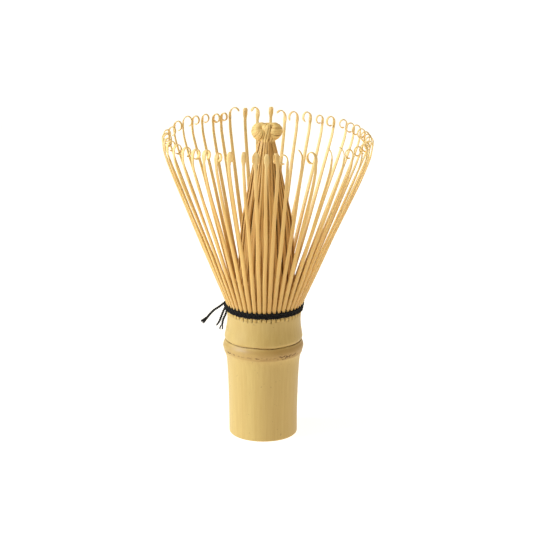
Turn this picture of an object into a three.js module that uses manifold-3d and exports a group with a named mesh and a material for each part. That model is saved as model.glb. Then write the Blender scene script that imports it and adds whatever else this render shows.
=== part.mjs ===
// A bamboo tea whisk: one culm whose upper end is split into tines, laced apart with a black cotton
// thread. Millimetres, +Z up, origin at the centre of the handle's foot.
import * as THREE from "three";
import { mergeVertices } from "three/addons/utils/BufferGeometryUtils.js";
import Module from "manifold-3d";

// Handle: a length of culm with its node, hollow below and above the node's own wall.
const FOOT_R = 12; // outside radius at the foot
const FOOT_EDGE = 0.5; // rounding of the foot's outer edge
const RIDGE_Z = 32; // height of the node's ridge
const RIDGE_R = 14.05;
const GROOVE_Z = 34.7; // thin line above the ridge
const GROOVE_R = 13.4;
const COLLAR_TOP = 44.9; // where the tines are split from
const COLLAR_R = 12.85;
const BORE_R = 7.8; // hollow under the node
const CUP_R = 9.3; // hollow above the node
const NODE_WALL = [29, 33]; // the solid wall across the culm at its node
const SPLIT_DEPTH = 1.2; // how far the splits run down into the collar
const SPLIT_GAP = 0.16; // width of a split

// The culm bends a little at its node, so everything above it leans towards +X.
const LEAN = 0.008;
const SEAM = 0.3; // gap between a tine's root and the collar it grows from

// Outer tines.
const TINES = 48;
const ROOT_R = 12.4; // middle of a tine's thickness at its root
const ROOT_Z = COLLAR_TOP + SEAM;
const BEND_Z = 46.6; // a tine stands upright to here, where the thread is, and flares above
const BEND = 1.4; // length of tine that the change takes
const FLARE = THREE.MathUtils.degToRad(23.2); // angle from the axis along the straight stem
const STEM = 48.8; // length of the straight stem
const RISE = { ends: 1.1, back: 1.1, backAt: 103, backSpread: 18, right: 1.5, chance: 0.3 };
const ROOT_WIDTH = 1.38;
const STEM_WIDTH = 1.1; // where the stem begins to bend
const CURL_WIDTH = 1.55;
const ROOT_THICK = 0.95;
const STEM_THICK = 0.55; // where the stem begins to bend
const TIP_THICK = 0.3;
const CURL_R = 1.7;
const CROWN_TURN = -0.9; // how far the crowns stand round from their roots, anticlockwise seen from above
const SIDE_SWAY = 0.6; // most that a crown strays to either side of that
// Crowns that stand elsewhere.
const DRIFTS = {
  4: -1.4, 5: -2.3, 6: -2.5, 7: -2.3, 8: -1.4, 9: -1.2,
  16: -0.2, 17: -1.5, 18: -2.7, 19: -3.4, 20: -3.7, 21: -3.2, 22: -2.2, 23: -1.4,
  28: -0.5, 29: 0.1, 30: 0.6, 31: 1, 32: 1.2, 33: 1.1, 34: 1, 35: 1.2,
  36: 0.6, 37: -0.7, 38: -2, 39: -3.2, 40: -3.2, 41: -3.2, 42: -1.7,
};

// Inner tines, drawn together into a hollow cone.
const INNER_FOOT_R = [10.1, 11.3];
const NECK_Z = 104;
const NECK_R = 2.95;
const INNER_SLOT = 0.34; // gap between two inner tines
const INNER_SLOTS_Z = [48, 80];

// Bun of curled inner ends at the neck.
const BUN_R = 5.2;
const BUN_Z = [NECK_Z + SEAM, 111.6];
const BUN_LOBES = 0.05; // how much wider it is across its two lobes

// Thread.
const THREAD_D = 0.9;
const THREAD_CLEAR = 0.2; // between the thread and the tines, so that they can flex
const ROUND_Z = [45.9, 46.95];
const TAIL_D = 0.5;
const KNOT_AT = [-13.2, 6.5, 45.1];
const KNOT_R = 0.5;
const TAILS = {
  thread_tail_long: [
    [-15, 6.1, 44.5], [-17.3, 5.4, 43.1], [-18.7, 4.9, 41.8], [-20.1, 4.4, 40.5], [-21.8, 4, 39.4],
  ],
  thread_tail_split: [
    [-14.9, 7.1, 44.3], [-17.3, 6.4, 42.8], [-18.7, 5.9, 41.5], [-20, 5.4, 39.9], [-21.2, 5, 38.4],
  ],
  thread_tail_middle: [
    [-13.6, 5.6, 44.1], [-14.3, 5.2, 42], [-15, 4.8, 40.4], [-15.6, 4.4, 39], [-16.3, 4, 38],
  ],
  thread_tail_short: [
    [-12.7, 5.2, 44], [-12.9, 5, 42.9], [-13.5, 4.6, 41.3], [-14.2, 4.2, 39.7], [-14.9, 3.6, 36.6],
  ],
};

const BAMBOO = new THREE.MeshStandardMaterial({ color: 0xdcc084, roughness: 0.5, metalness: 0 });
const SPLIT_BAMBOO = new THREE.MeshStandardMaterial({ color: 0xd9ae6e, roughness: 0.6, metalness: 0 });
const BENT_BAMBOO = new THREE.MeshStandardMaterial({ color: 0xcfa35c, roughness: 0.6, metalness: 0 });
const COTTON = new THREE.MeshStandardMaterial({ color: 0x1f1d1b, roughness: 0.95, metalness: 0 });

const wasm = await Module();
wasm.setup();

// The geometry with its positions only and its shared vertices merged.
function weld(geometry) {
  geometry.deleteAttribute("normal");
  geometry.deleteAttribute("uv");
  return mergeVertices(geometry, 1e-4);
}

function solid(geometry) {
  const welded = weld(geometry);
  return new wasm.Manifold(
    new wasm.Mesh({
      numProp: 3,
      vertProperties: new Float32Array(welded.attributes.position.array),
      triVerts: new Uint32Array(welded.index.array),
    }),
  );
}

function geometryOf(manifold) {
  const mesh = manifold.getMesh();
  return new THREE.BufferGeometry()
    .setAttribute("position", new THREE.BufferAttribute(mesh.vertProperties, 3))
    .setIndex(new THREE.BufferAttribute(mesh.triVerts, 1));
}

function cutAll(body, cutters) {
  return geometryOf(cutters.reduce((left, cutter) => left.subtract(solid(cutter)), solid(body)));
}

function named(name, geometry, material) {
  geometry.computeVertexNormals();
  const mesh = new THREE.Mesh(geometry, material);
  mesh.name = name;
  return mesh;
}

// Moves each vertex by change(vertex), which edits it in place.
function reshape(geometry, change) {
  const position = geometry.attributes.position;
  const vertex = new THREE.Vector3();
  for (let i = 0; i < position.count; i++) {
    change(vertex.fromBufferAttribute(position, i));
    position.setXYZ(i, vertex.x, vertex.y, vertex.z);
  }
  return geometry;
}

// A lathe about Z: three.js turns its profile about Y.
function lathe(profile, segments) {
  return new THREE.LatheGeometry(profile, segments).rotateX(Math.PI / 2);
}

function curvePoints(pairs, count) {
  return new THREE.SplineCurve(pairs.map(([r, z]) => new THREE.Vector2(r, z))).getPoints(count);
}

// A number from -1 to 1 that depends only on the tine and on what it is for.
function vary(tine, purpose) {
  const wave = Math.sin(tine * 12.9898 + purpose * 78.233) * 43758.5453;
  return (wave - Math.floor(wave)) * 2 - 1;
}

// A box cut across the culm in a plane through its axis, at the given angle.
function slot(width, from, to, angle) {
  return new THREE.BoxGeometry(4 * RIDGE_R, width, to - from)
    .translate(0, 0, (from + to) / 2)
    .rotateZ(angle);
}

function slots(width, from, to) {
  return Array.from({ length: TINES / 2 }, (_, i) =>
    slot(width, from, to, ((i + 0.5) * 2 * Math.PI) / TINES),
  );
}

function handle() {
  const outside = [
    ...new THREE.Path().absarc(FOOT_R - FOOT_EDGE, FOOT_EDGE, FOOT_EDGE, -Math.PI / 2, 0).getPoints(2),
    ...curvePoints([[12.1, 14], [12.35, 21.5], [12.75, 27], [13.35, 29.9]], 4),
    new THREE.Vector2(RIDGE_R - 0.15, RIDGE_Z - 0.9),
    new THREE.Vector2(RIDGE_R, RIDGE_Z),
    new THREE.Vector2(RIDGE_R - 0.15, RIDGE_Z + 1),
    new THREE.Vector2(GROOVE_R, GROOVE_Z - 0.6),
    new THREE.Vector2(GROOVE_R - 0.1, GROOVE_Z),
    new THREE.Vector2(GROOVE_R + 0.2, GROOVE_Z + 0.7),
    ...curvePoints([[13.4, 36.8], [12.85, 40.6], [COLLAR_R, COLLAR_TOP]], 3),
  ];
  const inside = [
    new THREE.Vector2(CUP_R, COLLAR_TOP),
    new THREE.Vector2(CUP_R, NODE_WALL[1] + 2),
    new THREE.Vector2(CUP_R - 2, NODE_WALL[1]),
    new THREE.Vector2(0, NODE_WALL[1] - 0.5),
  ];
  const under = [
    new THREE.Vector2(0, NODE_WALL[0] + 0.5),
    new THREE.Vector2(BORE_R - 2, NODE_WALL[0]),
    new THREE.Vector2(BORE_R, NODE_WALL[0] - 2),
    new THREE.Vector2(BORE_R + 0.2, 0),
  ];
  const culm = lathe([...under, ...outside, ...inside], TINES);
  const split = cutAll(culm, slots(SPLIT_GAP, COLLAR_TOP - SPLIT_DEPTH, COLLAR_TOP + 1));
  return reshape(split, (v) => {
    v.x += Math.tan(LEAN) * Math.max(0, v.z - RIDGE_Z);
  });
}

// How much longer than the rest a tine is: they reach highest at the back, and least far on the right.
function rise(number) {
  const degrees = ((number - 1) * 360) / TINES;
  const around = THREE.MathUtils.degToRad(degrees);
  const back = Math.exp(-(((degrees - RISE.backAt) / RISE.backSpread) ** 2));
  const right = Math.max(0, Math.cos(around)) ** 4;
  const ends = Math.sin(around) ** 4;
  return RISE.ends * ends + RISE.back * back - RISE.right * right + RISE.chance * vary(number, 4);
}

// Middle line of an outer tine in the plane of its flare: a list of {r, z, turn}, where turn is the
// line's angle from the axis, positive outwards.
function tineLine(longer, curlTurn, curlRadius) {
  const line = [{ r: ROOT_R, z: ROOT_Z, turn: 0 }];
  const walk = (length, turnTo, steps) => {
    const from = line.at(-1).turn;
    for (let i = 1; i <= steps; i++) {
      const last = line.at(-1);
      const turn = from + ((turnTo - from) * i) / steps;
      const heading = (last.turn + turn) / 2;
      const step = length / steps;
      line.push({ r: last.r + step * Math.sin(heading), z: last.z + step * Math.cos(heading), turn });
    }
  };
  const degrees = THREE.MathUtils.degToRad;
  walk(BEND_Z - ROOT_Z - BEND / 2, 0, 1);
  walk(BEND, FLARE, 2);
  walk(STEM + longer, FLARE, 1);
  walk(9, degrees(20), 2);
  walk(5.8, 0, 2);
  walk(curlRadius * curlTurn, -curlTurn, Math.round(curlTurn / 0.62));
  return line;
}

// Thickness of a tine at a share of its length, thin at the curl.
function tineThickness(share) {
  return share < 0.72
    ? THREE.MathUtils.lerp(ROOT_THICK, STEM_THICK, share / 0.72)
    : THREE.MathUtils.lerp(STEM_THICK, TIP_THICK, Math.min(1, (share - 0.72) / 0.15));
}

// One outer tine: its side outline, extruded across its width, which tapers up the stem and widens
// again at the curl.
function outerTine(number) {
  const curlTurn = THREE.MathUtils.degToRad(245 + 45 * vary(number, 2));
  const curlRadius = CURL_R + 0.12 * vary(number, 3);
  const line = tineLine(rise(number), curlTurn, curlRadius);
  const crown = Math.max(...line.map((p) => p.z));
  const lengths = line.map((p, i) => (i ? Math.hypot(p.r - line[i - 1].r, p.z - line[i - 1].z) : 0));
  const total = lengths.reduce((a, b) => a + b);
  let walked = 0;
  const faces = line.map((p, i) => {
    walked += lengths[i];
    const half = tineThickness(walked / total) / 2;
    const across = [Math.cos(p.turn) * half, -Math.sin(p.turn) * half];
    return [
      new THREE.Vector2(p.r + across[0], p.z + across[1]),
      new THREE.Vector2(p.r - across[0], p.z - across[1]),
    ];
  });
  const outline = new THREE.Shape([...faces.map((f) => f[0]), ...faces.map((f) => f[1]).reverse()]);
  const blade = new THREE.ExtrudeGeometry(outline, { depth: 1, bevelEnabled: false });
  const tine = reshape(weld(blade), (v) => {
    const [r, z, side] = [v.x, v.y, v.z * 2 - 1];
    const taper = THREE.MathUtils.lerp(ROOT_WIDTH, STEM_WIDTH, Math.min(1, (z - ROOT_Z) / STEM));
    const spread = THREE.MathUtils.smoothstep(z, crown - 4, crown - 1) * (CURL_WIDTH - STEM_WIDTH);
    v.set(r, (-side * (taper + spread)) / 2, z);
  });
  return tine.translate(-ROOT_R, 0, -ROOT_Z);
}

// The inner tines: a slotted hollow cone, solid only where they meet at the neck.
function innerTines() {
  const [footIn, footOut] = INNER_FOOT_R;
  const slope = [[10.4, 51], [9.6, 57], [8.6, 70], [7.7, 78.5], [6, 88], [4.4, 97.6]];
  const outside = curvePoints([[footOut, ROOT_Z], ...slope, [NECK_R, NECK_Z]], 6);
  const hollow = [[footIn, ROOT_Z], [8.6, 57], [7.6, 70], [6.4, 80], [3.4, 97]].reverse();
  const inside = hollow.map(([r, z]) => new THREE.Vector2(r, z));
  const profile = [new THREE.Vector2(0, inside[0].y), ...inside, ...outside, new THREE.Vector2(0, NECK_Z)];
  return cutAll(lathe(profile, TINES), slots(INNER_SLOT, ...INNER_SLOTS_Z));
}

// The bun: a squashed ring of strands with a dimple on top and a cleft between two lobes.
function tipKnot() {
  const [low, high] = BUN_Z;
  const profile = [
    new THREE.Vector2(0, low),
    new THREE.Vector2(NECK_R - 0.3, low),
    ...curvePoints([[4.4, 105.3], [BUN_R, 107.9], [4.7, 110.4], [3, high], [1.3, high - 0.5]], 8),
    new THREE.Vector2(0, high - 1.1),
  ];
  return reshape(lathe(profile, TINES / 2), (v) => {
    const around = Math.atan2(v.y, v.x);
    const lobes = 1 + BUN_LOBES * Math.cos(2 * around);
    v.x *= lobes;
    v.y *= lobes;
  });
}

// One round of the thread, lying against the tines' outer faces at its own height.
function threadRound(z) {
  const face = ROOT_R + ROOT_THICK / 2 + Math.max(0, z + THREAD_D / 4 - BEND_Z) * Math.tan(FLARE);
  const middle = face + THREAD_CLEAR + THREAD_D / 2;
  return new THREE.TorusGeometry(middle, THREAD_D / 2, 6, TINES).translate(0, 0, z);
}

function threadKnot() {
  const around = Math.atan2(KNOT_AT[1], KNOT_AT[0]);
  const knot = new THREE.TorusKnotGeometry(KNOT_R, THREAD_D / 4, 30, 6);
  return knot.rotateY(Math.PI / 2).rotateZ(around).translate(...KNOT_AT);
}

function threadTail(points) {
  const route = new THREE.CatmullRomCurve3(points.map((p) => new THREE.Vector3(...p)));
  const section = new THREE.Shape().absarc(0, 0, TAIL_D / 2, 0, 2 * Math.PI);
  return new THREE.ExtrudeGeometry(section, { steps: 8, curveSegments: 8, extrudePath: route });
}

const whisk = new THREE.Group();
whisk.add(named("handle", weld(handle()), BAMBOO));

// All that stands above the node leans with the collar. Inside this group heights are the whisk's own.
const leaning = new THREE.Group();
leaning.position.z = RIDGE_Z;
leaning.rotation.y = LEAN;
whisk.add(leaning);
const upper = new THREE.Group();
upper.position.z = -RIDGE_Z;
leaning.add(upper);

for (let number = 1; number <= TINES; number++) {
  const spoke = new THREE.Group();
  spoke.rotation.z = ((number - 1) * 2 * Math.PI) / TINES;
  const tine = named("outer_tine_" + String(number).padStart(2, "0"), outerTine(number), SPLIT_BAMBOO);
  tine.position.set(ROOT_R, 0, ROOT_Z);
  tine.rotation.x = -(DRIFTS[number] ?? CROWN_TURN + SIDE_SWAY * vary(number, 1)) / (NECK_Z - ROOT_Z);
  spoke.add(tine);
  upper.add(spoke);
}
upper.add(named("inner_tines", innerTines(), BENT_BAMBOO));
upper.add(named("tip_knot", weld(tipKnot()), BENT_BAMBOO));
upper.add(named("thread_lower_round", weld(threadRound(ROUND_Z[0])), COTTON));
upper.add(named("thread_upper_round", weld(threadRound(ROUND_Z[1])), COTTON));
upper.add(named("thread_knot", weld(threadKnot()), COTTON));
for (const [name, points] of Object.entries(TAILS)) {
  upper.add(named(name, weld(threadTail(points)), COTTON));
}

export default whisk;
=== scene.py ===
"""A bamboo tea whisk: a cane handle whose upper end is split into a bell of curled outer tines and a
cone of inner tines, laced with black cotton thread. The frame holds its sizes, joints and bodies; this
script makes its looks. Lengths are in millimetres, and each mesh is scaled to metres as it is made."""

import math

import bpy
from mathutils import Matrix, Vector, noise


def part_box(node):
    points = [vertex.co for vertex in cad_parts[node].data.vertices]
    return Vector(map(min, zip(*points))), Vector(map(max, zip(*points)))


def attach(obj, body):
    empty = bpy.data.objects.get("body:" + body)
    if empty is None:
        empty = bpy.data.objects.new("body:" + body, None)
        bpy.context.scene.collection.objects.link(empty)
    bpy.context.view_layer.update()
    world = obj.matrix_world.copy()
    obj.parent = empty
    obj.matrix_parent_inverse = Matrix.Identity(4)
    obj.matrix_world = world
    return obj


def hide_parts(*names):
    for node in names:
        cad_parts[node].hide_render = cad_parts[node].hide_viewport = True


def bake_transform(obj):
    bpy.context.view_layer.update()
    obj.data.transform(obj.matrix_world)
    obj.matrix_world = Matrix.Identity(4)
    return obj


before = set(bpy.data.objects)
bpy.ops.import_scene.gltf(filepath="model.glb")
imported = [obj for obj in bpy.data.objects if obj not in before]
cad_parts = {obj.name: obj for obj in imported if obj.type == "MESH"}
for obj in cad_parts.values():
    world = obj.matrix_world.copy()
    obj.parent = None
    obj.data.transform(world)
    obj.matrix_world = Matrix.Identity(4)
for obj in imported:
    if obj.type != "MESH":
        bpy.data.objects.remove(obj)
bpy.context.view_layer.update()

MM = 0.001
TAU = 2 * math.pi


def node_box(node):
    """A node's lowest and highest corners in millimetres."""
    low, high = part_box(node)
    return Vector(low) / MM, Vector(high) / MM


# ---------------------------------------------------------------- sizes

COLLAR_TOP = node_box("handle")[1].z
RIDGE_Z = 32.0  # the node's ridge, where the culm bends a little
RIDGE_R = 14.05
GROOVE_Z = 34.7  # the thin line above the ridge
SCAR_Z = 31.3  # the crusty line below it
LIP_Z = 30.2  # the pale lip under the scar
COLLAR_LEAN = 0.03  # slope of the axis towards +X between the ridge and the collar's top
TINE_LEAN = 0.025  # the outer tines' slope above that
CONE_LEAN = 0.0145  # the inner tines' slope above that
FOOT_R = 12.0
COLLAR_R = 12.85
CUP_R = 9.3

TINES = sum(name.startswith("outer_tine_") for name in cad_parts)
PITCH = TAU / TINES
INNER_TINES = TINES * 3 // 2
ROOT_R = 12.4  # middle of a tine's thickness where it leaves the collar
ROOT_Z = COLLAR_TOP + 0.3
BEND_Z = 46.6  # a tine stands upright to here, where the thread is, and flares above
BEND = 1.4
FLARE = math.radians(23.2)
STEM = 48.8
CURL_R = 1.62
CURL_TALL = 0.36  # how much taller than wide a curl is
ROOT_WIDTH, STEM_WIDTH, NECK_WIDTH, CURL_WIDTH = 1.38, 1.26, 1.0, 1.6
ROOT_THICK, STEM_THICK, CURL_THICK = 0.95, 0.5, 0.3
CROWN_TURN = -0.9  # how far the crowns stand round from their roots, anticlockwise seen from above
SIDE_SWAY = 0.6  # most that a crown strays to either side of that
LONGER_ENDS, SHORTER_RIGHT, LENGTH_CHANCE = 1.1, 1.5, 0.3  # how tines differ in length round the crown
USUAL_SWEEP, SWEEP_CHANCE = 305, 35  # degrees that a curl goes round
# Degrees that a curl is turned sideways, for each degree that its tine stands from the left or the right.
TURN_BACK_LEFT, TURN_FRONT_LEFT, TURN_RIGHT = 0.4, 0.15, -0.65
TURN_CHANCE = 12
# Tines shaped in their own way. longer and drift (of the crown, anticlockwise) are in millimetres, turn
# (of the curl out of its upright plane) and sweep (how far round it goes) in degrees, size is a factor,
# and width is the curl's, in millimetres.
OWN_SHAPES = {
    4: dict(drift=-1.4),
    5: dict(drift=-2.3),
    6: dict(drift=-2.5, longer=-0.8),
    7: dict(drift=-2.3, longer=-0.2),
    8: dict(drift=-1.4, longer=-0.1),
    9: dict(drift=-1.2, longer=0.0),
    10: dict(drift=-0.9, longer=0.3, turn=-42, sweep=250, size=1.15),
    11: dict(drift=-0.8, longer=-0.1, turn=-50, sweep=215, size=1.25),
    12: dict(drift=-1.0, longer=-0.2, turn=-55, sweep=150, size=1.5),
    13: dict(drift=-0.8, longer=1.9, turn=0, sweep=185),
    14: dict(drift=-0.8, longer=1.2, turn=-56, sweep=165, size=1.3),
    15: dict(drift=-1.1, longer=1.7, turn=-14, sweep=200),
    16: dict(drift=-0.2, longer=1.3, turn=44, sweep=160, size=1.45),
    17: dict(drift=-1.5, longer=0.6, turn=30, sweep=320, size=0.85),
    18: dict(drift=-2.7, longer=0.4),
    19: dict(drift=-3.4, longer=0.9),
    20: dict(drift=-3.7, longer=0.9),
    21: dict(drift=-3.2, longer=1.2, sweep=250, size=1.15),
    22: dict(drift=-2.2, longer=0.8),
    23: dict(drift=-1.4),
    28: dict(drift=-0.5),
    29: dict(drift=0.1),
    30: dict(drift=0.6),
    31: dict(drift=1.0),
    32: dict(drift=1.2),
    33: dict(drift=1.1),
    34: dict(drift=1.0, turn=8, sweep=300),
    35: dict(drift=1.2, turn=14, sweep=300),
    36: dict(drift=0.6, turn=8, sweep=290, width=2.5),
    37: dict(drift=-0.7, turn=4, sweep=290, width=1.9),
    38: dict(drift=-2.0, turn=10, sweep=290),
    39: dict(drift=-3.2, turn=76),
    40: dict(drift=-3.2, turn=56, sweep=62, size=1.9),
    41: dict(drift=-3.2, size=1.2),
    42: dict(drift=-1.7, turn=52, sweep=66, size=1.9),
    43: dict(drift=-0.9, turn=46, sweep=70, size=1.8),
}

NECK_Z = 104.0
ROUND_Z = (45.75, 46.4, 47.05)  # heights of the rounds of thread
PLY_R = 0.25  # radius of one of the thread's two plies


# ---------------------------------------------------------------- small tools


def vary(number, purpose):
    """A number from -1 to 1 that depends only on the piece and on what it is for."""
    wave = math.sin(number * 12.9898 + purpose * 78.233) * 43758.5453
    return (wave - math.floor(wave)) * 2 - 1


def wander(along, seed):
    """A slow, smooth wobble from about -1 to 1."""
    return noise.noise(Vector((along, seed * 7.31, 0.37 * seed)))


def smooth(low, high, value):
    share = min(1.0, max(0.0, (value - low) / (high - low)))
    return share * share * (3 - 2 * share)


def mix(a, b, share):
    return a + (b - a) * share


def ramp(stops, value):
    """Straight-line interpolation through (place, value) stops."""
    for (x0, y0), (x1, y1) in zip(stops, stops[1:]):
        if value <= x1:
            return mix(y0, y1, max(0.0, (value - x0) / (x1 - x0)))
    return stops[-1][1]


def curve_through(stops, value):
    """A smooth Catmull-Rom line through (place, value) stops."""
    xs = [x for x, _ in stops]
    i = max(1, next((k for k, x in enumerate(xs) if x >= value), len(xs) - 1))
    x0, x1 = xs[i - 1], xs[i]
    y0, y1 = stops[i - 1][1], stops[i][1]
    before = stops[max(0, i - 2)]
    after = stops[min(len(stops) - 1, i + 1)]
    m0 = (y1 - before[1]) / (x1 - before[0]) * (x1 - x0)
    m1 = (after[1] - y0) / (after[0] - x0) * (x1 - x0)
    t = min(1.0, max(0.0, (value - x0) / (x1 - x0)))
    return (
        (2 * t**3 - 3 * t**2 + 1) * y0
        + (t**3 - 2 * t**2 + t) * m0
        + (3 * t**2 - 2 * t**3) * y1
        + (t**3 - t**2) * m1
    )


def lean(z, slope):
    """How far the axis has moved towards +X at a height: the collar leans, then what grows from it."""
    collar = COLLAR_LEAN * (min(z, COLLAR_TOP) - RIDGE_Z)
    return max(0.0, collar) + slope * max(0.0, z - COLLAR_TOP)


def mesh_object(name, vertices, faces, materials, attributes, face_slots=None):
    """A mesh object from points in millimetres, with float attributes on its points."""
    mesh = bpy.data.meshes.new(name)
    mesh.from_pydata([tuple(c * MM for c in v) for v in vertices], [], faces)
    for key, values in attributes.items():
        mesh.attributes.new(key, "FLOAT", "POINT").data.foreach_set("value", values)
    mesh.polygons.foreach_set("use_smooth", [True] * len(mesh.polygons))
    for material in materials:
        mesh.materials.append(material)
    if face_slots:
        mesh.polygons.foreach_set("material_index", face_slots)
    mesh.update()
    made = bpy.data.objects.new(name, mesh)
    bpy.context.scene.collection.objects.link(made)
    return made


class Parts:
    """Points, faces and point attributes gathered from several swept pieces into one mesh."""

    def __init__(self):
        self.vertices, self.faces = [], []
        self.along, self.across, self.tone, self.inner = [], [], [], []

    def sweep(self, stations, tone=0.0, closed=False):
        """Adds a swept body. A station is (centre, side, face, section), where section lists the
        (across, out) places of its outline, and side and face are unit vectors."""
        first = len(self.vertices)
        count = len(stations[0][3])
        length = 0.0
        for k, (centre, side, face, section) in enumerate(stations):
            if k:
                length += (centre - stations[k - 1][0]).length
            furthest = max(out for _, out in section)
            for across, out in section:
                self.vertices.append(centre + side * across + face * out)
                self.along.append(length)
                self.across.append(across + 3.1 * out)
                self.tone.append(tone)
                self.inner.append(0.5 - 0.5 * out / furthest)
        rings = len(stations)
        for k in range(rings if closed else rings - 1):
            here, there = first + k * count, first + ((k + 1) % rings) * count
            for j in range(count):
                nxt = (j + 1) % count
                self.faces.append((here + j, here + nxt, there + nxt, there + j))
        if not closed:
            self.faces.append(tuple(first + j for j in reversed(range(count))))
            self.faces.append(tuple(first + (rings - 1) * count + j for j in range(count)))

    def build(self, name, material):
        values = {"along": self.along, "across": self.across, "tone": self.tone, "inner": self.inner}
        return mesh_object(name, self.vertices, self.faces, [material], values)


def strip_section(width, thickness):
    """The outline of a shaved strip: flat, with rounded edges and a slightly crowned outer face."""
    w, t = width / 2, thickness / 2
    c = min(0.3 * thickness, 0.12 * width)
    crown = 0.1 * thickness
    return [
        (w, -t + c), (w, t - c), (w - c, t), (0.4 * w, t + crown), (-0.4 * w, t + crown),
        (-w + c, t), (-w, t - c), (-w, -t + c), (-w + c, -t), (w - c, -t),
    ]


def round_section(radius, count=6):
    turns = [TAU * j / count for j in range(count)]
    return [(radius * math.cos(turn), radius * math.sin(turn)) for turn in turns]


def path_frames(points, hint):
    """Side and face vectors along a path; the face starts towards the hint and turns as little as
    it can."""
    frames = []
    face = hint.normalized()
    for k, point in enumerate(points):
        ahead = points[min(k + 1, len(points) - 1)]
        behind = points[max(k - 1, 0)]
        tangent = (ahead - behind).normalized()
        face = (face - tangent * face.dot(tangent)).normalized()
        frames.append((point, face.cross(tangent).normalized(), face))
    return frames


# ---------------------------------------------------------------- materials


class Nodes:
    """A short way to write a material's node tree."""

    def __init__(self, name):
        self.material = bpy.data.materials.new(name)
        self.material.use_nodes = True
        self.tree = self.material.node_tree
        self.shader = self.tree.nodes["Principled BSDF"]

    def add(self, kind, inputs=None, **settings):
        node = self.tree.nodes.new("ShaderNode" + kind)
        for key, value in settings.items():
            setattr(node, key, value)
        for key, value in (inputs or {}).items():
            self.put(node.inputs[key], value)
        return node

    def put(self, socket, value):
        if isinstance(value, bpy.types.NodeSocket):
            self.tree.links.new(value, socket)
        else:
            socket.default_value = value

    def math(self, operation, *values, clamp=False):
        node = self.add("Math", operation=operation, use_clamp=clamp)
        for socket, value in zip(node.inputs, values):
            self.put(socket, value)
        return node.outputs[0]

    def attribute(self, name):
        return self.add("Attribute", attribute_name=name).outputs["Fac"]

    def place(self, scale):
        """The object's own coordinates in millimetres, stretched by a scale for each axis."""
        where = self.add("TexCoord").outputs["Object"]
        factors = [s / MM for s in scale]
        return self.add("Mapping", {"Vector": where, "Scale": factors}).outputs["Vector"]

    def fibre_place(self, across, along, seed=0.0):
        """Coordinates for fibres that run along a swept strip."""
        u = self.math("MULTIPLY", self.attribute("across"), across)
        v = self.math("MULTIPLY", self.attribute("along"), along)
        w = self.math("MULTIPLY_ADD", self.attribute("tone"), 9.0, seed)
        return self.add("CombineXYZ", {"X": u, "Y": v, "Z": w}).outputs[0]

    def noise(self, vector, scale=1.0, detail=3.0, roughness=0.5):
        wanted = {"Vector": vector, "Scale": scale, "Detail": detail, "Roughness": roughness}
        return self.add("TexNoise", wanted).outputs["Fac"]

    def blend(self, share, a, b, mode="MIX"):
        node = self.add("Mix", data_type="RGBA", blend_type=mode)
        self.put(node.inputs["Factor"], share)
        self.put(node.inputs[6], a)
        self.put(node.inputs[7], b)
        return node.outputs[2]

    def span(self, value, low, high, to_low=0.0, to_high=1.0):
        wanted = {"Value": value, "From Min": low, "From Max": high, "To Min": to_low, "To Max": to_high}
        return self.add("MapRange", wanted).outputs[0]

    def bump(self, height, strength, distance):
        wanted = {"Height": height, "Strength": strength, "Distance": distance * MM}
        return self.add("Bump", wanted).outputs["Normal"]

    def finish(self, colour, roughness, normal, **constants):
        self.put(self.shader.inputs["Base Color"], colour)
        self.put(self.shader.inputs["Roughness"], roughness)
        self.put(self.shader.inputs["Normal"], normal)
        for key, value in constants.items():
            self.shader.inputs[key.replace("_", " ")].default_value = value
        return self.material


def rgb(red, green, blue):
    """A colour given as it looks on screen, from 0 to 255."""
    shares = [c / 255 for c in (red, green, blue)]
    linear = [((s + 0.055) / 1.055) ** 2.4 if s > 10 / 255 else s / 12.92 for s in shares]
    return (*linear, 1.0)


def cane_skin():
    """The outside of the culm: waxy skin with upright fibres, browned along the node's two lines, and
    with painted shade in the slits under the tines.
    """
    n = Nodes("cane_skin")
    streaks = n.noise(n.place((1.1, 1.1, 0.035)), detail=4.0, roughness=0.6)
    fine = n.noise(n.place((5.0, 5.0, 0.12)), detail=3.0, roughness=0.6)
    clouds = n.noise(n.place((0.09, 0.09, 0.045)), detail=2.0)
    specks = n.noise(n.place((1.6, 1.6, 1.1)), detail=1.0)
    colour = n.blend(n.span(streaks, 0.3, 0.7), rgb(202, 168, 92), rgb(212, 182, 108))
    colour = n.blend(n.span(clouds, 0.35, 0.68, 0.0, 0.45), colour, rgb(200, 164, 92))
    colour = n.blend(n.span(fine, 0.35, 0.75, 0.0, 0.22), colour, rgb(184, 146, 80))
    colour = n.blend(n.span(specks, 0.735, 0.77, 0.0, 0.6), colour, rgb(150, 112, 62))
    tan = n.math("MULTIPLY", n.attribute("tan"), 0.8)
    colour = n.blend(tan, colour, rgb(184, 144, 78))
    # The next two attributes carry real brown marks on the node's lines and also painted shade in the
    # slits under the tines, where the skin is cut.
    stain_and_slit_shade = n.attribute("stain_and_slit_shade")
    crust = n.noise(n.place((2.2, 2.2, 3.0)), detail=4.0, roughness=0.65)
    stain_and_slit_shade_mask = n.math("MULTIPLY", stain_and_slit_shade, n.span(crust, 0.3, 0.62, 0.35, 1.25), clamp=True)
    colour = n.blend(stain_and_slit_shade_mask, colour, rgb(122, 86, 38))
    colour = n.blend(n.attribute("dark"), colour, rgb(64, 42, 19))
    height = n.math("ADD", n.math("MULTIPLY", fine, 0.5), n.math("MULTIPLY", crust, stain_and_slit_shade))
    roughness = n.math("ADD", n.span(streaks, 0.2, 0.8, 0.42, 0.54), n.math("MULTIPLY", stain_and_slit_shade, 0.3))
    return n.finish(
        colour, roughness, n.bump(height, 0.45, 0.1), Coat_Weight=0.06, Coat_Roughness=0.35
    )


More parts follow.
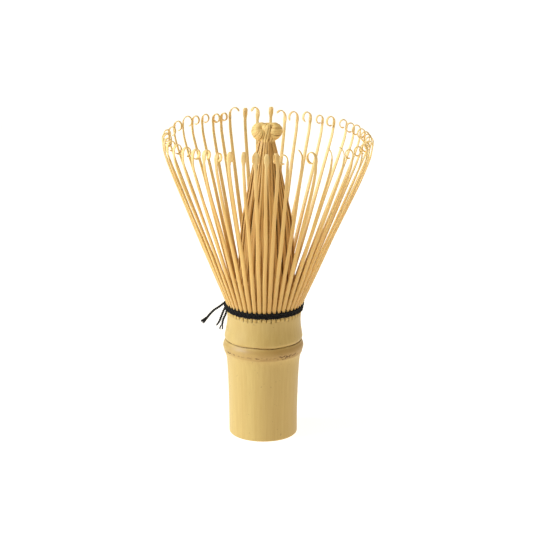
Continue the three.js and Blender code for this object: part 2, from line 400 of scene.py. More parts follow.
def cane_cut():
    """Sawn and carved cane: pale wood dotted with the dark ends of its fibre bundles."""
    n = Nodes("cane_cut")
    where = n.place((1.0, 1.0, 0.06))
    cells = n.add("TexVoronoi", {"Vector": where, "Scale": 1.7, "Randomness": 0.9})
    dots = n.span(cells.outputs["Distance"], 0.12, 0.34, 1.0, 0.0)
    grain = n.noise(n.place((3.0, 3.0, 0.4)), detail=3.0)
    colour = n.blend(n.span(grain, 0.3, 0.7), rgb(205, 168, 104), rgb(228, 198, 136))
    colour = n.blend(n.math("MULTIPLY", dots, 0.62), colour, rgb(134, 93, 46))
    height = n.math("SUBTRACT", n.math("MULTIPLY", grain, 0.6), dots)
    return n.finish(colour, n.span(grain, 0.2, 0.8, 0.6, 0.78), n.bump(height, 0.45, 0.15))


def split_cane(name, root, stem, tip, shade, tip_from, tip_to, rim, inside, inner_painted_light, mottle, glow, bark):
    """Shaved slivers: fibres along their length, from warm at the root to pale at the slender tip. The
    inner side is darkened to brown, most near the root, as painted shade, and may be lightened higher up,
    as painted light."""
    n = Nodes(name)
    along = n.attribute("along")
    fibres = n.noise(n.fibre_place(6.5, 0.1), detail=4.0, roughness=0.65)
    streaks = n.noise(n.fibre_place(1.3, 0.035, 4.0), detail=2.0)
    knife = n.noise(n.fibre_place(0.5, 0.45, 8.0), detail=2.0)
    colour = n.blend(n.span(along, 0.0, 24.0), root, stem)
    colour = n.blend(n.span(along, tip_from, tip_to), colour, tip)
    colour = n.blend(n.span(streaks, 0.42, 0.75, 0.0, 0.5), colour, shade)
    colour = n.blend(n.span(fibres, 0.5, 0.8, 0.0, 0.55), colour, shade)
    warmth = n.span(n.attribute("tone"), -1.0, 1.0, 0.0, mottle)
    colour = n.blend(warmth, colour, rgb(212, 160, 84))
    inner = n.span(n.attribute("inner"), *rim)
    # Painted light: higher up, the inner side is lightened to pale gold, standing in for light on faces
    # turned away from the lamps.
    inner_painted_light_mask = n.math("MULTIPLY", inner, n.span(along, 20.0, 40.0, 0.0, inner_painted_light))
    colour = n.blend(inner_painted_light_mask, colour, rgb(255, 219, 146))
    # Painted shade: the inner side is darkened to brown, most near the root, standing in for shadow
    # between the tines.
    inner_painted_shade = n.math("MULTIPLY", inner, n.span(along, 4.0, 26.0, *inside))
    colour = n.blend(inner_painted_shade, colour, rgb(140, 82, 28))
    colour = n.blend(n.span(along, 1.4, 2.6, bark, 0.0), colour, rgb(206, 172, 98))
    height = n.math("ADD", fibres, n.math("MULTIPLY", knife, 0.6))
    return n.finish(
        colour,
        n.span(knife, 0.2, 0.8, 0.42, 0.62),
        n.bump(height, 0.4, 0.06),
        Subsurface_Weight=glow,
        Subsurface_Radius=(1.0, 0.8, 0.45),
        Subsurface_Scale=0.8 * MM,
    )


def cotton():
    """Black twisted cotton: matte, with fibres that run along each ply and a little dust."""
    n = Nodes("cotton_thread")
    fibres = n.noise(n.fibre_place(9.0, 1.6), detail=3.0, roughness=0.7)
    dust = n.noise(n.place((1.4, 1.4, 1.4)), detail=2.0)
    colour = n.blend(n.span(fibres, 0.35, 0.75), rgb(9, 9, 9), rgb(30, 28, 27))
    colour = n.blend(n.span(dust, 0.5, 0.8, 0.0, 0.3), colour, rgb(44, 42, 38))
    return n.finish(
        colour,
        n.span(fibres, 0.2, 0.8, 0.8, 0.98),
        n.bump(fibres, 0.7, 0.08),
        Sheen_Weight=0.06,
        Sheen_Roughness=0.6,
        Specular_IOR_Level=0.15,
    )


def floor_paper():
    """The pale sweep that the whisk stands on: bright paper with a faint tooth."""
    n = Nodes("floor_paper")
    tooth = n.noise(n.place((0.6, 0.6, 0.6)), detail=3.0)
    colour = n.blend(tooth, (0.28, 0.28, 0.28, 1.0), (0.32, 0.32, 0.32, 1.0))
    return n.finish(
        colour, 0.9, n.bump(tooth, 0.1, 0.05), Emission_Color=(1.0, 0.95, 0.85, 1), Emission_Strength=1.05
    )


SKIN = cane_skin()
CUT = cane_cut()
SPLIT = split_cane(
    "split_cane",
    root=rgb(208, 166, 92),
    stem=rgb(236, 194, 112),
    tip=rgb(255, 221, 150),
    shade=rgb(206, 152, 74),
    tip_from=52.0,
    tip_to=67.0,
    rim=(0.35, 0.95),
    # The inner side's painted shade near the root, then its painted light higher up.
    inside=(0.7, 0.0),
    inner_painted_light=1.0,
    mottle=0.3,
    glow=0.2,
    bark=1.0,
)
BENT = split_cane(
    "bent_cane",
    root=rgb(190, 138, 66),
    stem=rgb(224, 175, 95),
    tip=rgb(242, 198, 120),
    shade=rgb(160, 106, 42),
    tip_from=40.0,
    tip_to=66.0,
    rim=(0.15, 0.8),
    # The inner side's painted shade, kept up its whole length; no painted light.
    inside=(0.85, 0.7),
    inner_painted_light=0.0,
    mottle=0.3,
    glow=0.1,
    bark=0.0,
)
BUN = split_cane(
    "curled_cane",
    root=rgb(255, 220, 138),
    stem=rgb(255, 220, 138),
    tip=rgb(255, 220, 138),
    shade=rgb(226, 172, 92),
    tip_from=0.0,
    tip_to=20.0,
    rim=(0.03, 0.42),
    # The inner side's painted shade; no painted light.
    inside=(0.55, 0.55),
    inner_painted_light=0.0,
    mottle=0.3,
    glow=0.0,
    bark=0.0,
)
COTTON = cotton()


# ---------------------------------------------------------------- handle

AROUND = TINES * 8  # columns round the handle, so that every split falls on one


def skin_profile(z):
    """Outside radius of the culm at a height, before its irregularities."""
    below = [(0.6, 11.95), (7.4, 12.0), (14.2, 12.13), (21.0, 12.35), (25.4, 12.6), (28.0, 12.86)]
    node = [(29.6, 13.3), (30.8, 13.76), (32.0, RIDGE_R), (33.0, 13.95), (34.0, 13.55), (34.8, 13.38)]
    above = [(35.6, 13.62), (36.6, 13.5), (38.7, 13.12), (40.9, 12.84), (43.1, 12.8), (46.0, 12.86)]
    return curve_through(below + node + above, z)


def skin_detail(around, z):
    """Radius change of the culm's skin at a place, and its tan, stain and darkness."""
    ring = Vector((math.cos(around), math.sin(around), 0))
    out = 0.05 * math.cos(2 * around + 0.7)
    out += 0.07 * noise.noise(ring * 1.3 + Vector((0, 0, 0.05 * z)))
    out += 0.02 * noise.noise(ring * 14 + Vector((0, 0, 0.08 * z)))
    # The thin line over the ridge: a fold whose edge has gone brown.
    groove_z = GROOVE_Z + 0.16 * noise.noise(ring * 2.1) + 0.05 * noise.noise(ring * 9)
    groove = math.exp(-(((z - groove_z) / 0.19) ** 2))
    out -= 0.34 * groove
    # The scar below the ridge: a lip that is crusty in places.
    scar_z = SCAR_Z + 0.3 * noise.noise(ring * 2.7 + Vector((3, 0, 0))) + 0.15 * noise.noise(ring * 8)
    lip_width = 0.34 + 0.4 * max(0.0, math.cos(around - math.radians(301))) ** 40
    lip = math.exp(-(((z - scar_z) / lip_width) ** 2))
    crust = scar_strength(around)
    grit = noise.noise(ring * 30 + Vector((0, 0, 2.3 * z)))
    edge = scar_z - SCAR_Z + LIP_Z
    out += lip * (0.22 * grit * crust - 0.05) + 0.09 * math.exp(-(((z - edge) / 0.28) ** 2))
    browning = 0.62 + 0.38 * math.cos(around - math.radians(305))
    browning += 0.25 * noise.noise(ring * 3 + Vector((0, 0, z)))
    tan = browning * smooth(-0.3, 0.3, z - edge) * (1 - smooth(33.6, 34.9, z))
    gritty = smooth(-0.05, 0.3, noise.noise(ring * 17 + Vector((1, 1, 1.9 * z))))
    pale_run = 0.55 + 0.45 * smooth(-0.3, 0.3, noise.noise(ring * 3.1 + Vector((0, 2, 0))))
    spots = smooth(0.1, 0.4, noise.noise(ring * 12 + Vector((5, 0, 1.2 * z))))
    stain_and_slit_shade = 1.1 * groove * pale_run + 1.3 * lip * crust * gritty
    dark = groove * pale_run * (0.12 + 0.5 * spots) + 0.45 * lip * crust * gritty
    return out, max(0.0, tan), min(1.0, stain_and_slit_shade), min(0.9, dark)


def scar_strength(around):
    """How crusty the scar below the ridge is: a few listed marks, and odd ones elsewhere."""
    marks = [(302, 9, 1.6), (322, 12, 0.8), (212, 16, 0.9), (262, 8, 0.5), (278, 5, 0.3), (150, 18, 0.6)]
    marks += [(95, 12, 0.8), (48, 14, 0.5), (10, 9, 0.4)]
    degrees = math.degrees(around)
    strength = 0.2
    for place, spread, amount in marks:
        strength += amount * math.exp(-(((degrees - place) / spread) ** 2))
    return min(1.0, strength)


def split_depth(around, z):
    """How deep the skin is cut by the split nearest to a place, and how far down it has run."""
    column = around / PITCH - 0.5
    nearest = round(column)
    off = abs(column - nearest) * PITCH * COLLAR_R
    run = 1.0 + 0.5 * vary(nearest % TINES, 11)
    reach = smooth(COLLAR_TOP - run, COLLAR_TOP - run + 0.6, z)
    return reach * max(0.0, 1 - off / 0.16)


def handle_rings():
    """(radius, height, kind) of the rings that the handle's surface is made of, from the node's wall down
    the lower hollow, up the outside and down into the cup. The skin's own radius is worked out later."""
    heights = [0.75, 1.5]
    while heights[-1] < COLLAR_TOP - 0.05:
        z = heights[-1]
        fine = 0.13 if 29.4 < z < 35.6 else 0.2 if z > 42.6 else 1.0 if z < 28 else 0.35
        heights.append(min(COLLAR_TOP, z + fine))
    edge = [(FOOT_R - 0.55, 0.0), (FOOT_R - 0.3, 0.08), (FOOT_R - 0.12, 0.26), (FOOT_R - 0.05, 0.5)]
    under = [(0.05, 29.4), (2.5, 29.3), (5.5, 28.7), (7.2, 27.6), (7.75, 25.5), (7.8, 18), (7.9, 8)]
    under += [(8.0, 1), (8.1, 0.2), (8.4, 0.0), (9.6, 0.0), (10.8, 0.0)]
    inside = [(11.9, COLLAR_TOP), (10.6, COLLAR_TOP), (CUP_R + 0.3, COLLAR_TOP)]
    inside += [(CUP_R, COLLAR_TOP - 0.4), (CUP_R, 40), (CUP_R - 0.1, 36), (8.3, 34.2), (6.5, 33.2)]
    inside += [(3, 32.9), (0.05, 32.8)]
    rings = [(r, z, "cut") for r, z in under]
    rings += [(r, z, "skin") for r, z in edge]
    rings += [(None, z, "skin") for z in heights]
    return rings + [(r, z, "cut") for r, z in inside]


def handle():
    rings = handle_rings()
    vertices, tans, stain_and_slit_shade_values, dark_and_slit_shade_values = [], [], [], []
    for r, z, kind in rings:
        for j in range(AROUND):
            around = TAU * j / AROUND
            radius, tan, stain_and_slit_shade, dark = r, 0.0, 0.0, 0.0
            if kind == "skin":
                out, tan, stain_and_slit_shade, dark = skin_detail(around, z)
                radius = (skin_profile(z) if r is None else r) + out
                cut = split_depth(around, z)
                radius -= 0.75 * cut
                # Painted shade: where a slit cuts the skin, the colour is darkened to stand in for shadow
                # in the narrow gap.
                stain_and_slit_shade = max(stain_and_slit_shade, 0.4 * min(1.0, 2 * cut))
                dark = max(dark, 0.8 * cut)
            elif r > 1:
                where = Vector((math.cos(around) * 2, math.sin(around) * 2, 0.2 * z))
                radius = r + 0.12 * noise.noise(where)
            x = radius * math.cos(around) + lean(z, 0)
            vertices.append(Vector((x, radius * math.sin(around), z)))
            tans.append(tan)
            stain_and_slit_shade_values.append(stain_and_slit_shade)
            dark_and_slit_shade_values.append(dark)
    faces, slots = [], []
    for k in range(len(rings) - 1):
        slot = 1 if "cut" in (rings[k][2], rings[k + 1][2]) else 0
        for j in range(AROUND):
            nxt = (j + 1) % AROUND
            faces.append((k * AROUND + j, k * AROUND + nxt, (k + 1) * AROUND + nxt, (k + 1) * AROUND + j))
            slots.append(slot)
    last = (len(rings) - 1) * AROUND
    faces.append(tuple(reversed(range(AROUND))))
    faces.append(tuple(last + j for j in range(AROUND)))
    slots += [1, 1]
    values = {"tan": tans, "stain_and_slit_shade": stain_and_slit_shade_values, "dark": dark_and_slit_shade_values}
    made = mesh_object("cane_handle", vertices, faces, [SKIN, CUT], values, slots)
    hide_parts("handle")
    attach(made, "handle")


# ---------------------------------------------------------------- outer tines


def own(number, trait, usual):
    return OWN_SHAPES.get(number, {}).get(trait, usual)


def rise(number):
    """How much longer than the rest a tine is: they reach furthest at the back and front, and least far
    on the right."""
    around = (number - 1) * PITCH
    usual = LONGER_ENDS * math.sin(around) ** 4 - SHORTER_RIGHT * max(0.0, math.cos(around)) ** 4
    usual += LENGTH_CHANCE * vary(number, 4)
    return own(number, "longer", usual)


def curl_sweep(number):
    """How far round a tine's curl goes: most are nearly closed rings."""
    return math.radians(own(number, "sweep", USUAL_SWEEP + SWEEP_CHANCE * vary(number, 2)))


def tine_line(number):
    """Stations along a tine's middle line in its own upright plane, as (distance out, height, angle from
    upright), and the length at which it stands upright below its curl."""
    legs = [
        (BEND_Z - ROOT_Z - BEND / 2 + 1.0, 0.0, 3),
        (BEND, FLARE, 4),
        (STEM + rise(number), FLARE + math.radians(0.5) * vary(number, 5), 20),
        (9.0, math.radians(20), 7),
        (5.8, 0.0, 7),
    ]
    out, up, turn = ROOT_R, ROOT_Z - 1.0, 0.0
    line = [(out, up, turn)]
    for length, to, steps in legs:
        start = turn
        for i in range(1, steps + 1):
            new = mix(start, to, i / steps)
            out += length / steps * math.sin((turn + new) / 2)
            up += length / steps * math.cos((turn + new) / 2)
            turn = new
            line.append((out, up, turn))
    upright_at = sum(length for length, _, _ in legs)
    sweep = curl_sweep(number)
    radius = CURL_R * own(number, "size", 1 + 0.1 * vary(number, 3))
    steps = 26
    for i in range(1, steps + 1):
        new = -sweep * i / steps
        heading = (turn + new) / 2
        step = sweep / steps * radius * (1 + CURL_TALL * math.cos(2 * heading)) * (1 - 0.22 * i / steps)
        out += step * math.sin(heading)
        up += step * math.cos(heading)
        turn = new
        line.append((out, up, turn))
    return line, upright_at


def curl_twist(number):
    """How far a tine's curl is turned out of its upright plane: those on the right are combed to the
    left, and those on the left turn a little to the right."""
    around = math.degrees((number - 1) * PITCH)
    if 90 < around < 270:
        usual = (TURN_BACK_LEFT if around < 180 else TURN_FRONT_LEFT) * (180 - around)
    else:
        usual = TURN_RIGHT * (around if around <= 90 else around - 360)
    return math.radians(own(number, "turn", usual + TURN_CHANCE * vary(number, 6)))


def tine_widths(number, upright_at):
    """(length, width) stops along a tine: narrow below its curl, and broad like a paddle on it."""
    curl_width = own(number, "width", CURL_WIDTH + 0.15 * vary(number, 9))
    widths = [(0, ROOT_WIDTH), (12, ROOT_WIDTH + 0.06), (46, STEM_WIDTH), (upright_at - 2.2, NECK_WIDTH)]
    widths += [(upright_at - 0.8, curl_width), (upright_at + 1, curl_width)]
    widths += [(upright_at + 2.4, NECK_WIDTH), (upright_at + 3.6, NECK_WIDTH)]
    widths += [(upright_at + 5.5, 0.85 * curl_width)]
    return widths


def outer_tine(number):
    line, upright_at = tine_line(number)
    around = (number - 1) * PITCH
    out_dir = Vector((math.cos(around), math.sin(around), 0))
    side_dir = Vector((-math.sin(around), math.cos(around), 0))
    lengths = [0.0]
    for (r0, z0, _), (r1, z1, _) in zip(line, line[1:]):
        lengths.append(lengths[-1] + math.hypot(r1 - r0, z1 - z0))
    total = lengths[-1]
    crown_lean = own(number, "drift", CROWN_TURN + SIDE_SWAY * vary(number, 1)) / (NECK_Z - ROOT_Z)
    twist = curl_twist(number)
    widths = tine_widths(number, upright_at)
    pivot = max(r for r, _, _ in line)
    stations = []
    for (r, z, turn), s in zip(line, lengths):
        spin = Matrix.Rotation(twist * smooth(upright_at - 5, upright_at + 1.5, s), 3, "Z")
        bow = 0.22 * wander(s * 0.05, number) * smooth(2, 20, s)
        sway = crown_lean * max(0.0, z - ROOT_Z)
        sway += 0.35 * wander(s * 0.045, number + 60) * smooth(4, 25, s)
        centre = out_dir * (pivot + bow) + side_dir * sway + spin @ (out_dir * (r - pivot))
        centre.z = z
        centre.x += lean(z, TINE_LEAN)
        face = spin @ (out_dir * math.cos(turn)) - Vector((0, 0, math.sin(turn)))
        width = ramp(widths, s) * (1 + 0.05 * vary(number, 8))
        thick = ramp([(0, ROOT_THICK), (46, STEM_THICK), (upright_at, CURL_THICK)], s)
        tip = math.sqrt(max(0.03, 1 - smooth(total - 0.9, total, s) ** 2))
        stations.append((centre, spin @ side_dir, face.normalized(), strip_section(width * tip, thick)))
    tine = Parts()
    tine.sweep(stations, tone=vary(number, 10))
    node = "outer_tine_%02d" % number
    made = tine.build("tine_%02d" % number, SPLIT)
    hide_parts(node)
    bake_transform(made)


# ---------------------------------------------------------------- inner tines


def cone_radius(z):
    """Radius of the inner tines' outer faces at a height."""
    stops = [(44.0, 11.2), (47.0, 10.9), (51.0, 10.4), (57.0, 9.6), (63.0, 9.0), (70.0, 8.5), (78.5, 7.7)]
    stops += [(88.0, 6.0), (97.6, 4.4), (104.0, 2.9), (107.0, 1.9)]
    return curve_through(stops, z)


def inner_tine(number):
    around0 = (number - 0.5) * TAU / INNER_TINES
    layer = number % 3  # each one in three lies behind the others as the cone narrows
    drift = 0.05 * vary(number, 21) + (0.13 * vary(number, 24) if number % 5 == 0 else 0.0)
    stations = []
    steps = 64
    for k in range(steps + 1):
        z = mix(COLLAR_TOP - 0.8, 106.6, k / steps)
        around = around0 + drift * smooth(50, 85, z) + 0.045 * wander(z * 0.06, number + 120)
        behind = (0.0, 0.35, 0.9)[layer] * smooth(46, 66, z)
        r = cone_radius(z) - behind + 0.25 * wander(z * 0.05, number + 200)
        r += 0.3 * vary(number, 22) * smooth(50, 70, z) * (1 - smooth(85, 104, z))
        r += 0.8 * max(0.0, math.cos(around)) * smooth(48, 66, z) * (1 - smooth(76, 98, z))
        slope = cone_radius(z + 0.5) - cone_radius(z - 0.5)
        out_dir = Vector((math.cos(around), math.sin(around), 0))
        side = Vector((-math.sin(around), math.cos(around), 0))
        face = (out_dir - Vector((0, 0, slope))).normalized()
        roll = Matrix.Rotation(0.35 * wander(z * 0.04, number + 300), 3, face.cross(side))
        centre = out_dir * max(r, 0.5)
        centre.z = z
        centre.x += lean(z, CONE_LEAN)
        width = ramp([(44, 0.9), (58, 1.05), (74, 1.0), (90, 0.8), (107, 0.5)], z)
        thick = ramp([(44, 0.7), (70, 0.5), (107, 0.36)], z)
        stations.append((centre, roll @ side, roll @ face, strip_section(width, thick)))
    tine = Parts()
    tine.sweep(stations, tone=vary(number, 23))
    made = tine.build("inner_tine_%02d" % number, BENT)
    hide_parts("inner_tines")
    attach(made, "handle")


# ---------------------------------------------------------------- bun


def lobe(name, centre, axis, reach, tall, slant, seed):
    """A part of the bun: curled ends wound over a ring, each crossing it from the dimple on its axis."""
    axis = axis.normalized()
    sideways = axis.orthogonal().normalized()
    forward = axis.cross(sideways)
    ring_r, tube_r, strands, steps = 0.42 * reach, 0.55 * reach, 40, 32
    bundle = Parts()

    def place(around, tube, swell):
        spoke = sideways * math.cos(around) + forward * math.sin(around)
        r = ring_r + tube_r * swell * math.cos(tube)
        point = centre + spoke * r + axis * tube_r * tall * swell * math.sin(tube)
        return point, (spoke * math.cos(tube) * tall + axis * math.sin(tube)).normalized()

    for number in range(strands):
        start = TAU * number / strands + 0.1 * vary(number, seed)
        swell = 1 + 0.035 * vary(number, seed + 1)
        points = []
        for k in range(steps):
            tube = TAU * k / steps
            around = start + slant * math.sin(tube) + 0.16 * wander(3 * k / steps, number + seed * 11)
            points.append(place(around, tube, swell))
        section = strip_section(0.54 + 0.05 * vary(number, seed + 2), 0.4)
        stations = []
        for k, (point, out) in enumerate(points):
            tangent = (points[(k + 1) % steps][0] - points[k - 1][0]).normalized()
            face = (out - tangent * out.dot(tangent)).normalized()
            stations.append((point, face.cross(tangent), face, section))
        bundle.sweep(stations, tone=vary(number, seed + 3), closed=True)
    # The ends packed inside, which show in the gaps between the strands.
    rings = []
    for k in range(24):
        around = TAU * k / 24
        spoke = sideways * math.cos(around) + forward * math.sin(around)
        section = [(tall * a, b) for a, b in round_section(0.9 * tube_r, 16)]
        rings.append((centre + spoke * ring_r, axis, spoke, section))
    bundle.sweep(rings, tone=-1.0, closed=True)
    made = bundle.build(name, BUN)
    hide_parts("tip_knot")
    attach(made, "handle")


def bun():
    """Two lobes of wound ends, with a third between them that is parted on top and meets the neck."""
    x = lean(108.0, CONE_LEAN)
    # Name, centre, axis, reach, height over width, slant of the strands, and seed.
    lobes = [
        ("bun_left_lobe", (x - 2.2, -0.15, 108.55), (0.2, -0.7, 0.68), 3.0, 1.35, 0.25, 30),
        ("bun_right_lobe", (x + 2.4, 0.15, 108.45), (-0.75, -0.3, 0.6), 2.95, 1.3, -0.5, 40),
        ("bun_middle", (x + 0.15, 0.0, 107.3), (0.04, -0.05, 1), 2.8, 2.4, 0.35, 50),
    ]
    for name, centre, axis, *shape in lobes:
        lobe(name, Vector(centre), Vector(axis), *shape)


# ---------------------------------------------------------------- thread


def tine_face(z):
    """Radius of the outer tines' outer faces near their roots."""
    return ROOT_R + ROOT_THICK / 2 + max(0.0, z - BEND_Z) * math.tan(FLARE)


def plied(parts, points, hint, radius, pitch, closed=False, parting=0.0):
    """Two plies twisted round each other along a path; at a cut end they may come apart."""
    frames = path_frames(points, hint)
    length, turns = 0.0, []
    for k, (point, _, _) in enumerate(frames):
        if k:
            length += (point - frames[k - 1][0]).length
        turns.append(length / pitch * TAU)
    if closed:  # a whole number of turns, so that the ends meet
        scale = round(turns[-1] / TAU) * TAU / (turns[-1] * (1 + 1 / (len(turns) - 1)))
        turns = [t * scale for t in turns]
    for ply in (0, math.pi):
        stations = []
        for k, ((point, side, face), turn) in enumerate(zip(frames, turns)):
            apart = parting * smooth(0.72, 1.0, k / len(frames))
            turn = mix(turn, turns[-1], smooth(0.7, 0.8, k / len(frames))) if parting else turn
            off = (side * math.cos(turn + ply) + face * math.sin(turn + ply)) * (radius * 0.82 + apart)
            stations.append((point + off, side, face, round_section(radius * (1 - 0.35 * apart))))
        parts.sweep(stations, tone=ply, closed=closed)


def thread_rounds():
    """Each round lies on the outer tines' faces and dips into the gap between one tine and the next."""
    nodes = ["thread_lower_round", "thread_lower_round", "thread_upper_round"]
    for seed, (z0, node) in enumerate(zip(ROUND_Z, nodes), start=1):
        parts = Parts()
        steps = TINES * 12
        points = []
        for k in range(steps):
            around = TAU * k / steps
            gap = 0.5 - 0.5 * math.cos(TAU * (around / PITCH))  # 1 midway between two tines
            z = z0 + 0.1 * math.sin(around * TINES / 2 + seed * math.pi)
            z += 0.14 * wander(around * 2, seed + 400)
            # The upper rounds ride up at one place on the right.
            z += 0.45 * (seed - 1) / 2 * math.exp(-((math.degrees(around) - 6) / 7) ** 2)
            r = tine_face(z) + PLY_R * 1.75 - 0.25 * gap + 0.06 * wander(around * 9, seed + 410)
            points.append(Vector((r * math.cos(around) + lean(z, TINE_LEAN), r * math.sin(around), z)))
        plied(parts, points, Vector((1, 0, 0)), PLY_R, 1.5, closed=True)
        made = parts.build("thread_round_%d" % seed, COTTON)
        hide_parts(node)
        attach(made, "handle")


def thread_lacing():
    """The thread under the rounds: turns packed against the tines, a round behind them, and a pass
    through each gap that shows as a dark peak over the rounds."""
    parts = Parts()
    steps = TINES * 8
    turns = [(45.75, 0.16, 0.36), (46.4, 0.16, 0.4), (47.0, 0.16, 0.36), (47.4, -1.4, 0.4)]
    for z, depth, radius in turns:
        stations = []
        for k in range(steps):
            around = TAU * k / steps
            out_dir = Vector((math.cos(around), math.sin(around), 0))
            level = z + 0.1 * wander(around * 5, 430 + z)
            centre = out_dir * (tine_face(level) + depth) + Vector((lean(level, TINE_LEAN), 0, level))
            stations.append((centre, Vector((0, 0, 1)), out_dir, round_section(radius)))
        parts.sweep(stations, tone=0.1 * z - 4.6, closed=True)
    for number in range(TINES):
        around = (number + 0.5) * PITCH
        out_dir = Vector((math.cos(around), math.sin(around), 0))
        side_dir = Vector((-math.sin(around), math.cos(around), 0))
        high = 48.0 + 0.3 * vary(number, 61)
        route = [(-1.4, 47.4, 0.3), (-0.9, high - 0.15, 0.26), (-0.35, high, 0.2)]
        route += [(-0.05, high - 0.25, 0.26), (0.2, 47.4, 0.4), (0.25, 46.9, 0.42)]
        points = []
        for off, z, _ in route:
            point = out_dir * (tine_face(z) + off) + side_dir * 0.08 * vary(number, 63)
            point.z = z
            point.x += lean(z, TINE_LEAN)
            points.append(point)
        frames = path_frames(points, Vector((0, 0, 1)))
        stations = [(p, s, f, round_section(size)) for (p, s, f), (_, _, size) in zip(frames, route)]
        parts.sweep(stations, tone=vary(number, 62))
    made = parts.build("thread_lacing", COTTON)
    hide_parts("thread_upper_round")
    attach(made, "handle")


def smooth_points(corners, count):
    """Smooth points through given corners."""
    out = []
    last = len(corners) - 1
    axes = [[(i, corner[axis]) for i, corner in enumerate(corners)] for axis in range(3)]
    for k in range(count + 1):
        place = last * k / count
        out.append(Vector([curve_through(stops, place) for stops in axes]))
    return out


# Each cut end's route, and how far its plies have come apart at the tip.
TAILS = {
    "thread_tail_long": (0.05, [
        (-13.8, 6.4, 45.4), (-15.6, 5.9, 44.1), (-17.3, 5.4, 43.1),
        (-18.7, 4.9, 41.8), (-20.1, 4.4, 40.5), (-21.8, 4.0, 39.4),
    ]),
    "thread_tail_split": (0.05, [
        (-13.8, 7.0, 45.2), (-15.6, 6.9, 43.8), (-17.3, 6.4, 42.8),
        (-18.7, 5.9, 41.5), (-20.0, 5.4, 39.9), (-21.2, 5.0, 38.4),
    ]),
    "thread_tail_middle": (0.3, [
        (-13.4, 6.0, 45.1), (-13.5, 5.6, 43.9), (-14.3, 5.2, 42.0),
        (-15.0, 4.8, 40.4), (-15.6, 4.4, 39.0), (-16.3, 4.0, 38.0),
    ]),
    "thread_tail_short": (0.35, [
        (-12.8, 5.8, 45.6), (-12.9, 5.2, 42.9), (-13.5, 4.6, 41.3),
        (-14.2, 4.2, 39.7), (-14.5, 3.9, 38.0), (-14.9, 3.6, 36.6),
    ]),
}


def thread_tails():
    for seed, (name, (parting, corners)) in enumerate(TAILS.items()):
        parts = Parts()
        points = smooth_points(corners, 60)
        for k, point in enumerate(points):
            point += Vector((0.12 * wander(k * 0.09, seed + 440), 0.12 * wander(k * 0.08, seed + 450), 0))
        plied(parts, points, Vector((0, 0, 1)), 0.26, 1.3, parting=parting)
        # The cut end frays into a few fibres.
        end, heading = points[-1], (points[-1] - points[-4]).normalized()
        for hair in range(4):
            spread = Vector((vary(hair, seed + 70), vary(hair, seed + 80), vary(hair, seed + 90)))
            steps = [heading * 0.08 * (k - 2) + spread * 0.01 * k * k for k in range(5)]
            fibre = [end + spread * 0.2 + step for step in steps]
            frames = path_frames(fibre, Vector((0, 1, 0)))
            parts.sweep([(p, s, f, round_section(0.045, 4)) for p, s, f in frames], tone=0.3)
        made = parts.build(name.replace("thread", "cotton"), COTTON)
        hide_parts(name)
        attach(made, "handle")


def thread_knot():
    """A half knot drawn tight, and the loop that leads from it into the rounds."""
    low, high = node_box("thread_knot")
    centre = (low + high) / 2
    out_dir = Vector((centre.x, centre.y, 0)).normalized()
    side_dir = Vector((-out_dir.y, out_dir.x, 0))
    points = []
    for k in range(72):
        turn = TAU * k / 72
        r = 0.72 * (2 + math.cos(3 * turn)) * 0.5
        flat = side_dir * r * math.cos(2 * turn) + Vector((0, 0, r * math.sin(2 * turn)))
        points.append(centre + flat + out_dir * (0.36 * math.sin(3 * turn) - 0.1))
    parts = Parts()
    plied(parts, points, out_dir, 0.26, 1.5, closed=True)
    for side, rise_z in ((1, 0.3), (-1, 0.1)):
        arc = []
        for k in range(9):
            share = k / 8
            around = math.atan2(centre.y, centre.x) + side * 0.2 * share
            r = mix(14.7, 13.4, smooth(0, 1, share))
            z = mix(centre.z + rise_z, 46.6, share)
            arc.append(Vector((r * math.cos(around) + lean(z, TINE_LEAN), r * math.sin(around), z)))
        plied(parts, arc, out_dir, 0.24, 1.4)
    made = parts.build("cotton_knot", COTTON)
    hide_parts("thread_knot")
    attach(made, "handle")


# ---------------------------------------------------------------- studio


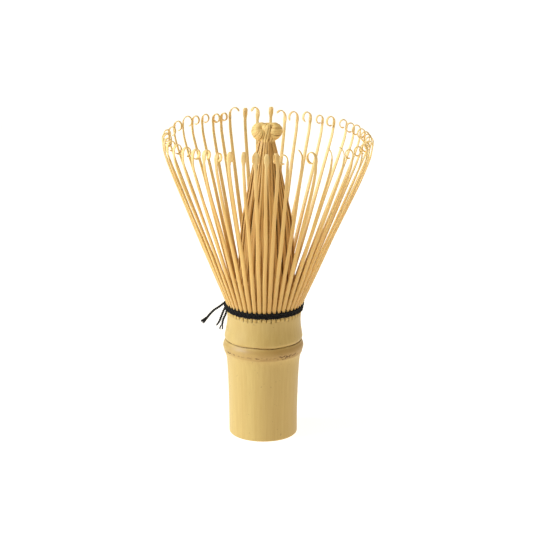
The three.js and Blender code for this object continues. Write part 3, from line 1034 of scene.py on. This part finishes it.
def studio():
    bpy.ops.mesh.primitive_plane_add(size=1)
    floor = bpy.context.object
    floor.name = "floor"
    floor.data.materials.append(floor_paper())

    world = bpy.data.worlds.new("studio")
    bpy.context.scene.world = world
    world.use_nodes = True
    tree = world.node_tree
    background = tree.nodes["Background"]
    background.inputs["Color"].default_value = (1.0, 0.96, 0.88, 1)
    path = tree.nodes.new("ShaderNodeLightPath")
    seen = tree.nodes.new("ShaderNodeMapRange")
    seen.inputs["To Min"].default_value = 0.2
    seen.inputs["To Max"].default_value = 1.15
    tree.links.new(path.outputs["Is Camera Ray"], seen.inputs["Value"])
    tree.links.new(seen.outputs[0], background.inputs["Strength"])

    middle = Vector((0, 0, 60)) * MM
    # Name, place in metres, size, power and colour of each lamp.
    lamps = [
        ("key", (-0.76, -0.17, 0.42), 0.5, 7.1, (0.87, 1.0, 1.18)),
        ("top", (-0.1, -0.15, 0.8), 0.6, 2.0, (1.0, 0.96, 0.86)),
        ("rim", (0.6, 0.1, 0.3), 0.35, 0.45, (1.0, 0.95, 0.85)),
    ]
    for name, place, size, power, colour in lamps:
        data = bpy.data.lights.new(name, "AREA")
        data.shape = "DISK"
        data.size = size
        data.energy = power
        data.color = colour
        lamp = bpy.data.objects.new(name, data)
        lamp.location = place
        lamp.rotation_euler = (middle - Vector(place)).to_track_quat("-Z", "Y").to_euler()
        bpy.context.scene.collection.objects.link(lamp)
    bpy.context.scene.view_settings.view_transform = "Standard"


def camera():
    data = bpy.data.cameras.new("camera")
    data.lens = 136.1
    data.sensor_width = 36.0
    data.clip_start = 0.01
    target = Vector((1.16, 0, 60.58)) * MM
    distance, elevation = 0.7, math.radians(16.19)
    made = bpy.data.objects.new("camera", data)
    made.location = target + distance * Vector((0, -math.cos(elevation), math.sin(elevation)))
    made.rotation_euler = (target - made.location).to_track_quat("-Z", "Y").to_euler()
    bpy.context.scene.collection.objects.link(made)
    bpy.context.scene.camera = made


camera()
studio()
handle()
for tine_number in range(1, TINES + 1):
    outer_tine(tine_number)
for tine_number in range(1, INNER_TINES + 1):
    inner_tine(tine_number)
bun()
thread_rounds()
thread_lacing()
thread_tails()
thread_knot()
